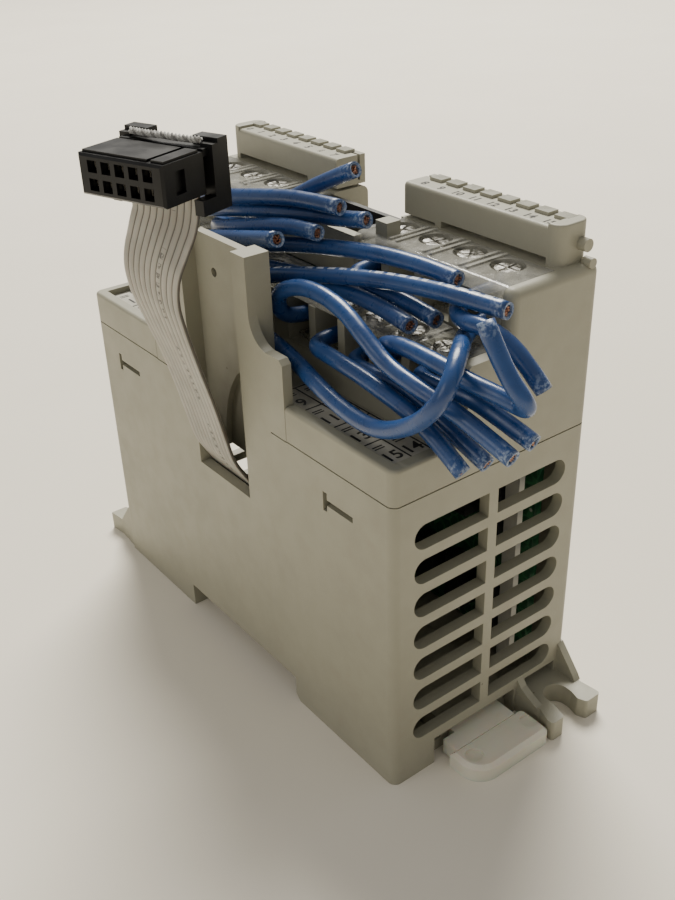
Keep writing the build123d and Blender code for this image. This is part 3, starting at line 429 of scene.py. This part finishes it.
WIRE_R = 1.3 * MM
BORE_R = 0.86 * MM
BORE_DEPTH = 1.6 * MM
RING_COUNT = 20
PINCH = 1.2 * MM
STRAND_R = 0.145 * MM
STRAND_REACH = 0.66
UP, LOW = 10.3, 0.5
WIRES = {
    "wire_01": [
        (UP, 15.1, 76.8), (1.8, 15.1, 76.8), (-3, 14.2, 78), (-3.5, 8, 80.6), (-1, 2, 84.5), (1, -4, 88),
        (2, -10.3, 90.8),
    ],
    "wire_02": [
        (UP, 37, 76.5), (1.8, 37, 76.5), (-4.5, 35.5, 78), (-9, 29, 80.5), (-10, 19, 83), (-9, 9, 84.6),
        (-6.5, 2, 85.6), (-4.5, -5, 86.4), (-3.5, -13.5, 86.6),
    ],
    "wire_03": [
        (UP, 29.3, 76.5), (1.8, 29.3, 76.5), (-4, 28, 77.3), (-7.5, 21.5, 79.4), (-8, 11.5, 81.7),
        (-6, 3.3, 82.9), (-4, -4.6, 83.6), (-2, -11.5, 84.1), (-1, -16.8, 84.9),
    ],
    "wire_04": [
        (UP, 21.7, 76), (1.8, 21.7, 76), (-5, 20.5, 76.5), (-9.3, 14, 78.3), (-9.3, 6.7, 80),
        (-8, -1, 81.9), (-7, -6.9, 82.8), (-6.5, -11.6, 82.8),
    ],
    "wire_05": [
        (LOW, 29.9, 68.5), (-8, 29.9, 68.5), (-13, 28.5, 71), (-13.5, 22, 74.5), (-12.8, 14.5, 77.2),
        (-12.3, 2.2, 79.9), (-12.3, -8.9, 82.5),
    ],
    "wire_06": [
        (LOW, 22.3, 68.5), (-8, 22.3, 68.5), (-12, 21, 70.3), (-11.5, 16, 73.5), (-10, 12, 75.6),
        (-8.2, 4.9, 77.2), (-6, -3.5, 78.9), (-4.7, -12, 80.3), (-3, -19.6, 81.1), (-1.8, -26, 81.3),
        (-0.8, -32.3, 81.1), (-0.5, -36.5, 80.8),
    ],
    "wire_07": [
        (UP, 12.2, 76), (1.8, 12.2, 76), (-4, 11.2, 75.2), (-7.9, 7, 74), (-8.5, 1.2, 74.4),
        (-7.3, -5, 75), (-6.3, -13, 74.9), (-6.2, -21, 75.2), (-6.2, -28, 74.9), (-6.7, -33.4, 74.5),
    ],
    "wire_08": [
        (LOW, 7.1, 68.7), (-8, 7.1, 68.7), (-12.5, 6.5, 69.7), (-12.5, 1.5, 73), (-11, -3.5, 75),
        (-9, -11, 76.6), (-7, -18.3, 77.9), (-5, -25, 78.7), (-3.6, -33.5, 79.5), (-3, -40.4, 79.95),
        (-1.8, -47.6, 79.9),
    ],
    "wire_09": [
        (LOW, -7.1, 68), (-8, -7.1, 68), (-12, -7.5, 70), (-13, -9, 74.3), (-12.3, -14, 76.5),
        (-12, -19.5, 76.7), (-12.2, -25, 75.8), (-12.8, -30, 73.8), (-13, -35.5, 71), (-13, -42.4, 70),
        (-12, -49, 68.4), (-11, -53.5, 66.4), (-10.5, -58, 64.8),
    ],
    "wire_10": [
        (LOW, -14.7, 67), (-8, -14.7, 67), (-12, -16.5, 67.2), (-13.3, -23.5, 68), (-13.5, -30.9, 67.6),
        (-13.5, -37, 66.7), (-13.5, -42, 65.8), (-13.2, -46.5, 63.6), (-12.5, -50.9, 60.2),
    ],
    "wire_11": [
        (LOW, -22.3, 66.5), (-8, -22.3, 66.5), (-10.6, -25, 66.5), (-10.5, -31, 66.8), (-10, -37, 66.2),
        (-9.9, -41.5, 65), (-9.3, -46.5, 62.7), (-8.5, -51.6, 60.3),
    ],
    "wire_12": [
        (LOW, -29.9, 69.0), (-8, -29.9, 69.0), (-10.2, -30.8, 71.8), (-10.2, -35, 73.3),
        (-10.3, -43.8, 73.2), (-9.6, -49, 72.2), (-8.4, -53.4, 71.5), (-7.3, -56.3, 70.5),
        (-9.5, -59.2, 72.6), (-10.5, -55.5, 76.7), (-10.3, -51.7, 82.2),
    ],
    "wire_13": [
        (LOW, -37.5, 69.2), (-8, -37.5, 69.2), (-10, -39.3, 69.4), (-9.6, -43.8, 69.4),
        (-8.8, -47.8, 69.5), (-8.0, -52, 68.2), (-6.8, -58.2, 65.9),
    ],
    "wire_14": [
        (UP, -13.5, 76), (1.8, -13.5, 76), (-2.6, -14.5, 75.9), (-3.4, -20, 75.8), (-3.1, -28, 75.8),
        (-3, -35, 74.8),
    ],
    "wire_15": [
        (LOW, 7.1, 65.5), (-8, 7.1, 65.5), (-11, 6, 65.5), (-12.4, 1, 65.4), (-13.7, -8.5, 65.6),
        (-15.0, -16.2, 65.3), (-16.5, -24, 64.4), (-17.5, -32.4, 63.5), (-17.8, -39.5, 63.8),
        (-17.3, -45.7, 66.9), (-16.8, -49.8, 71), (-15, -50.6, 74.5), (-11.5, -48.2, 76.4),
        (-7.8, -45, 75.8), (-4.6, -41.8, 74.3), (-1.2, -39.4, 74.1), (1.8, -38.4, 74.4),
        (UP, -38.4, 74.4),
    ],
    "wire_16": [
        (UP, -35.8, 77.25), (1.8, -35.8, 77.25), (-1.2, -37, 77.0), (-4.2, -41, 77.05),
        (-4.6, -46.3, 78.0), (-3.4, -49.8, 76.3), (-2.6, -53, 73.3), (-2, -55, 70.8),
    ],
}
MARKED = ("wire_08",)
PRINT_SIDE = Vector((-0.30, 0.72, 0.66))


def wire_mesh(name, points, open_end):
    """A vinyl tube along the points. An open end has a bored cut face; a closed one is capped."""
    ways, sides = carried_sides(points, PRINT_SIDE)
    bm = bmesh.new()
    along_layer = bm.verts.layers.float.new("along")
    turn_layer = bm.verts.layers.float.new("turn")
    total = length_of(points)
    gone = 0.0
    rings = []
    seam_shift = pi / RING_COUNT

    def ring_at(centre, way, side, radius, along):
        cross = way.cross(side)
        made = []
        for k in range(RING_COUNT):
            angle = 2 * pi * k / RING_COUNT + seam_shift
            vert = bm.verts.new(centre + (side * cos(angle) + cross * sin(angle)) * radius)
            vert[along_layer] = along / MM
            vert[turn_layer] = angle if angle < pi else angle - 2 * pi
            made.append(vert)
        return made

    for i, point in enumerate(points):
        if i:
            gone += (point - points[i - 1]).length
        left = total - gone
        swell = 1.0
        if open_end:
            swell = 1.0 + 0.02 * noise.noise(Vector((gone * 400, len(name), 0.3)))
            if left < PINCH:
                swell *= 1.0 - 0.03 * (1 - left / PINCH)
        rings.append(ring_at(point, ways[i], sides[i], WIRE_R * swell, left))
    for a, b in zip(rings, rings[1:]):
        join_rings(bm, a, b)
    cap(bm, rings[0], flip=True)
    if open_end:
        end, way, side = points[-1], ways[-1], sides[-1]
        lip = ring_at(end - way * 0.02 * MM, way, side, WIRE_R * 0.93, 0)
        inner = ring_at(end - way * 0.03 * MM, way, side, BORE_R * 1.06, 0)
        mouth = ring_at(end - way * 0.15 * MM, way, side, BORE_R, 0)
        deep = ring_at(end - way * BORE_DEPTH, way, side, BORE_R * 0.97, 0)
        join_rings(bm, rings[-1], lip)
        join_rings(bm, lip, inner, 1)
        join_rings(bm, inner, mouth, 1)
        join_rings(bm, mouth, deep, 1)
        cap(bm, deep, 2)
    else:
        cap(bm, rings[-1])
    return mesh_of(bm, name)


def strand_bundle(name, points, rng):
    """The bare copper strands inside the cut end, each ending at its own depth."""
    ways, sides = carried_sides(points, PRINT_SIDE)
    end, way, side = points[-1], ways[-1], sides[-1]
    cross = way.cross(side)
    bm = bmesh.new()
    spots = [(0.0, 0.0)]
    spots += [(0.31 * cos(pi * k / 3), 0.31 * sin(pi * k / 3)) for k in range(6)]
    spots += [(0.61 * cos(pi * (k + 0.5) / 6), 0.61 * sin(pi * (k + 0.5) / 6)) for k in range(12)]
    for x, y in spots:
        lean = rng.normal(0, 0.05, 2)
        tip = rng.uniform(0.05, 0.55)
        rings = []
        for depth, twist in ((BORE_DEPTH / MM - 0.02, -0.25), (0.8, -0.1), (tip, 0.0)):
            px = x * cos(twist) - y * sin(twist) + lean[0] * (1 - depth / 2)
            py = x * sin(twist) + y * cos(twist) + lean[1] * (1 - depth / 2)
            scale = min(1.0, STRAND_REACH / max(0.01, (px * px + py * py) ** 0.5))
            centre = end - way * depth * MM + (side * px + cross * py) * scale * MM
            rings.append(add_ring(bm, centre, side, cross, STRAND_R, 7))
        for a, b in zip(rings, rings[1:]):
            join_rings(bm, a, b)
        cap(bm, rings[0], flip=True)
        cap(bm, rings[-1])
    return mesh_of(bm, name)


for number, (name, route) in enumerate(WIRES.items()):
    route = [Vector(p) * MM for p in route]
    points = spline_points(route)
    jumper = name == "wire_15"
    mesh = wire_mesh(name + "_vinyl", points, not jumper)
    piece = link(name + "_vinyl", mesh, [marked_vinyl if name in MARKED else vinyl, cut_face, copper])
    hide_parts(name)
    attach(piece, "case")
    if not jumper:
        bundle = strand_bundle(name + "_strands", points, np.random.default_rng(number))
        strands = link(name + "_strands", bundle, copper)
        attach(strands, "case")

# ---------------------------------------------------------------- ribbon cable

RIBBON = [
    (-12.4, 2.2, 20.0, 0), (-12.7, 2.2, 27.0, 0), (-14.6, 2.2, 33.5, 0), (-18.0, 2.2, 39.4, 0),
    (-20.6, 2.1, 43.6, 0), (-22.0, 1.7, 49.0, 0), (-24.2, 0.8, 56.8, 0), (-26.7, -0.2, 64.2, 0),
    (-29.2, -1.2, 71.0, 3), (-31.1, -2.2, 76.8, 6), (-31.4, -3.3, 81.4, 10), (-30.2, -4.4, 85.6, 15),
    (-28.66, -5.5, 90.2, 18.6), (-28.46, -5.61, 98.5, 18.6),
]
WEB_HALF = 0.16
RIDGE = 0.29
RIDGE_STEPS = 6


def ribbon_profile():
    """(across, thickness half) pairs over one face, ridged over each conductor."""
    pairs = []
    for c in range(CONDUCTORS):
        for step in range(RIDGE_STEPS):
            t = step / RIDGE_STEPS
            pairs.append(((c + t) * RIBBON_PITCH, WEB_HALF + RIDGE * sin(pi * t) ** 0.7))
    pairs.append((RIBBON_WIDTH, WEB_HALF))
    return pairs


ribbon_route = [Vector(p[:3]) * MM for p in RIBBON]
ribbon_points = spline_points(ribbon_route, 8)
route_heights = [p[2] * MM for p in RIBBON]
route_twists = [p[3] for p in RIBBON]
profile = ribbon_profile()
bm = bmesh.new()
along_layer = bm.verts.layers.float.new("along")
across_layer = bm.verts.layers.float.new("across")
gone = 0.0
rings = []
for i, (point, way) in enumerate(zip(ribbon_points, headings(ribbon_points))):
    if i:
        gone += (point - ribbon_points[i - 1]).length
    twist = radians(float(np.interp(point.z, route_heights, route_twists)))
    width_dir = Vector((sin(twist), -cos(twist), 0))
    width_dir = (width_dir - way * width_dir.dot(way)).normalized()
    face_dir = way.cross(width_dir)
    ring = []
    for sign, pairs in ((1, profile), (-1, profile[::-1])):
        for across, half in pairs:
            offset = width_dir * (across - RIBBON_WIDTH / 2) + face_dir * half * sign
            vert = bm.verts.new(point + offset * MM)
            vert[along_layer] = gone / MM
            vert[across_layer] = across
            ring.append(vert)
    rings.append(ring)
for a, b in zip(rings, rings[1:]):
    join_rings(bm, a, b)
cap(bm, rings[0], flip=True)
cap(bm, rings[-1])
bmesh.ops.recalc_face_normals(bm, faces=bm.faces)
ribbon = link("ribbon", mesh_of(bm, "ribbon"), ribbon_grey)
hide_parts("ribbon_cable")
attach(ribbon, "case")

# braided pull cord across the socket's cover
PLUG_FACE = Vector((-36.9, -8.45, 96.3)) * MM
plug_turn = radians(18.6)
plug_back = Vector((cos(plug_turn), sin(plug_turn), 0))
plug_side = Vector((-sin(plug_turn), cos(plug_turn), 0))
plug_up = plug_back.cross(plug_side)
loop_route = [PLUG_FACE + (plug_side * x + plug_up * y + plug_back * z) * MM for x, y, z in
              ((6.4, 4.0, 9.6), (3.4, 4.0, 9.2), (0, 4.2, 9.0), (-3.4, 4.0, 9.3), (-6.4, 4.05, 9.7))]
loop_points = spline_points(loop_route, 24)
PLIES = 3
PLY_PITCH = 1.9 * MM
PLY_R = 0.27 * MM
bm = bmesh.new()
ways, sides = carried_sides(loop_points, Vector((0, 0, 1)))
for ply in range(PLIES):
    gone, rings = 0.0, []
    for i, point in enumerate(loop_points):
        if i:
            gone += (point - loop_points[i - 1]).length
        cross = ways[i].cross(sides[i])
        angle = 2 * pi * (gone / PLY_PITCH + ply / PLIES)
        centre = point + (sides[i] * cos(angle) + cross * sin(angle)) * PLY_R
        rings.append(add_ring(bm, centre, sides[i], cross, PLY_R, 10))
    for a, b in zip(rings, rings[1:]):
        join_rings(bm, a, b, 1 if ply == 2 else 0)
    cap(bm, rings[0], flip=True)
    cap(bm, rings[-1])
yarns = [braid_yarn("yarn_white", (0.62, 0.61, 0.57)), braid_yarn("yarn_grey", (0.30, 0.29, 0.27))]
pull_cord = link("pull_cord", mesh_of(bm, "pull_cord"), yarns)
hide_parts("pull_loop")
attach(pull_cord, "case")

# ---------------------------------------------------------------- printed numbers and card grids


BAR_TOP = 86.5
CARD_TOP = 59.25
PRINT_HALF = 0.012


def flat_print(name, items, lines, z, material, turned=0.0):
    """Numbers (text, x, y, height) and lines (x0, y0, x1, y1) in a thin raised print, in millimetres."""
    bm = bmesh.new()
    for text, x, y, height in items:
        curve = bpy.data.curves.new("number", "FONT")
        curve.body = text
        curve.size = height * MM / 0.7
        curve.align_x, curve.align_y = "CENTER", "CENTER"
        curve.extrude = PRINT_HALF * MM
        curve.offset = 0.05 * MM
        holder = bpy.data.objects.new("number", curve)
        made = bpy.data.meshes.new_from_object(holder)
        place = Matrix.Translation((x * MM, y * MM, (z + PRINT_HALF) * MM))
        made.transform(place @ Matrix.Rotation(turned, 4, "Z"))
        bm.from_mesh(made)
        bpy.data.objects.remove(holder)
        bpy.data.meshes.remove(made)
        bpy.data.curves.remove(curve)
    for x0, y0, x1, y1 in lines:
        made = bmesh.ops.create_cube(bm, size=1.0)["verts"]
        bmesh.ops.scale(bm, vec=((x1 - x0) * MM, (y1 - y0) * MM, 2 * PRINT_HALF * MM), verts=made)
        middle_at = ((x0 + x1) / 2 * MM, (y0 + y1) / 2 * MM, (z + PRINT_HALF) * MM)
        bmesh.ops.translate(bm, vec=middle_at, verts=made)
    piece = link(name, mesh_of(bm, name), material, smooth=False)
    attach(piece, "case")


for side, half, first in ((-1, "near", 8), (1, "far", 0)):
    marks = []
    for i in range(8):
        number = first + i if side < 0 else first + 7 - i
        marks.append((str(number), 14.75, side * (12.1 + 3.85 * i), 1.5))
    flat_print(f"bar_numbers_{half}", marks, [], BAR_TOP, bar_ink, turned=-pi / 2)
    x0, x1 = -17.5, -9.9
    middle = (x0 + x1) / 2
    edges = [side * (13.3 + 7.25 * k) for k in range(5)]
    w = 0.14
    lines = [(x, min(edges), x + 2 * w, max(edges)) for x in (x0, middle - w, x1 - 2 * w)]
    lines += [(x0, y - w, x1, y + w) for y in edges]
    marks = []
    for k in range(4):
        y = side * (13.3 + 7.25 * (k + 0.5))
        even = first + 2 * k if side < 0 else first + 6 - 2 * k
        for x, number in ((-11.9, even), (-15.7, even + 1)):
            marks.append((str(number), x, y - 1.2, 2.3))
            lines += [(x - 0.9, y + yy, x + 0.9, y + yy + 0.25) for yy in (1.5, 2.1)]
    flat_print(f"card_print_{half}", marks, lines, CARD_TOP, ink)

# ---------------------------------------------------------------- recessed panel beside the ribbon

RELIEF_CORNER = (-7.2, 42.5)
RELIEF_REACH = (11.15, 18.45)
RELIEF_FACES = (-15.95, -15.55)
ARC_STEPS = 24
outline = [RELIEF_CORNER] + [(RELIEF_CORNER[0] + RELIEF_REACH[0] * cos(pi / 2 * k / ARC_STEPS),
                              RELIEF_CORNER[1] + RELIEF_REACH[1] * sin(pi / 2 * k / ARC_STEPS))
                             for k in range(ARC_STEPS + 1)]
bm = bmesh.new()
front, back = [[bm.verts.new((x * MM, y * MM, z * MM)) for y, z in outline] for x in RELIEF_FACES]
join_rings(bm, front, back)
cap(bm, front, flip=True)
cap(bm, back)
bmesh.ops.recalc_face_normals(bm, faces=bm.faces)
bmesh.ops.bevel(bm, geom=list(bm.edges), offset=0.05 * MM, segments=1, affect="EDGES")
relief_panel = link("relief_panel", mesh_of(bm, "relief_panel"), case_plastic, smooth=False)
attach(relief_panel, "case")

# ---------------------------------------------------------------- stage and light


def floor_material():
    s = Shader("floor", Specular_IOR_Level=0.2)
    s.set("Base Color", s.mix(s.ramp(s.noise(60, 3), 0.3, 0.7), (0.87, 0.815, 0.70), (0.89, 0.835, 0.72)))
    s.set("Roughness", 0.8)
    return s.material


bm = bmesh.new()
bmesh.ops.create_grid(bm, x_segments=2, y_segments=2, size=3.0)
floor = link("floor", mesh_of(bm, "floor"), floor_material(), smooth=False)


def area_light(name, place, aim, size, power, colour):
    data = bpy.data.lights.new(name, "AREA")
    data.shape = "DISK"
    data.size = size
    data.energy = power
    data.color = colour
    lamp = bpy.data.objects.new(name, data)
    bpy.context.scene.collection.objects.link(lamp)
    lamp.location = place
    lamp.rotation_euler = (Vector(aim) - Vector(place)).to_track_quat("-Z", "Y").to_euler()


area_light("key", (0.65, 0.75, 1.25), (0, 0, 0.04), 0.8, 42.0, (1.0, 0.965, 0.88))
area_light("fill", (-1.4, 0.1, 0.9), (0, 0, 0.04), 1.0, 4.0, (1.0, 0.97, 0.92))
world = bpy.data.worlds.new("world")
world.use_nodes = True
world.node_tree.nodes["Background"].inputs["Color"].default_value = (1.0, 0.975, 0.93, 1)
world.node_tree.nodes["Background"].inputs["Strength"].default_value = 0.38
bpy.context.scene.world = world

bpy.context.view_layer.update()
